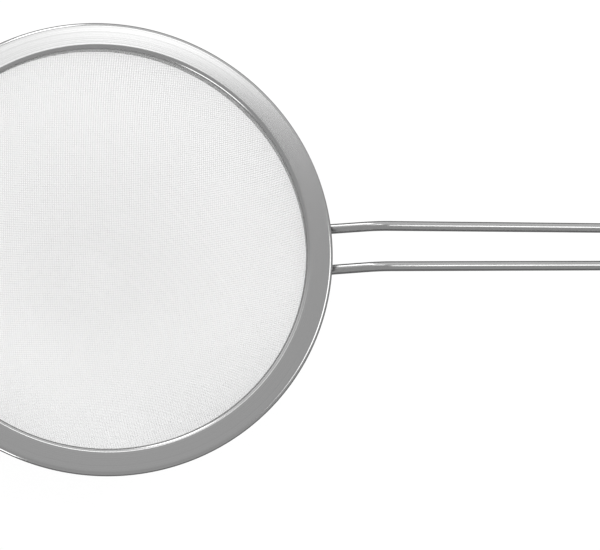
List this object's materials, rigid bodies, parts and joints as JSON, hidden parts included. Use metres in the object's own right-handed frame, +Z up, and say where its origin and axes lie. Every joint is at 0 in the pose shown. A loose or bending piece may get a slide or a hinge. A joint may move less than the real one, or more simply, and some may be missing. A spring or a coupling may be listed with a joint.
{
  "type": "kitchen sieve",
  "caption": "Round strainer with a deep bowl of fine woven wire, a wide flat steel rim and a long handle bent from one wire into a hanging loop.",
  "frame": {"origin": "middle of the foot, the small flat pressed into the bottom of the bowl", "axes": "+X runs out along the handle, +Z runs up through the middle of the bowl, and +Y runs across the handle"},
  "size_m": [0.365, 0.18, 0.065],
  "materials": {
    "rim_steel": "polished",
    "wire_cloth": "satin",
    "band_steel": "satin",
    "handle_steel": "polished",
    "weld_metal": "satin"
  },
  "bodies": {
    "root": {"rim": "rim_steel", "mesh_bowl": "wire_cloth", "clamp_band": "band_steel", "handle_wire": "handle_steel", "handle_welds": "weld_metal"}
  },
  "joints": []
}
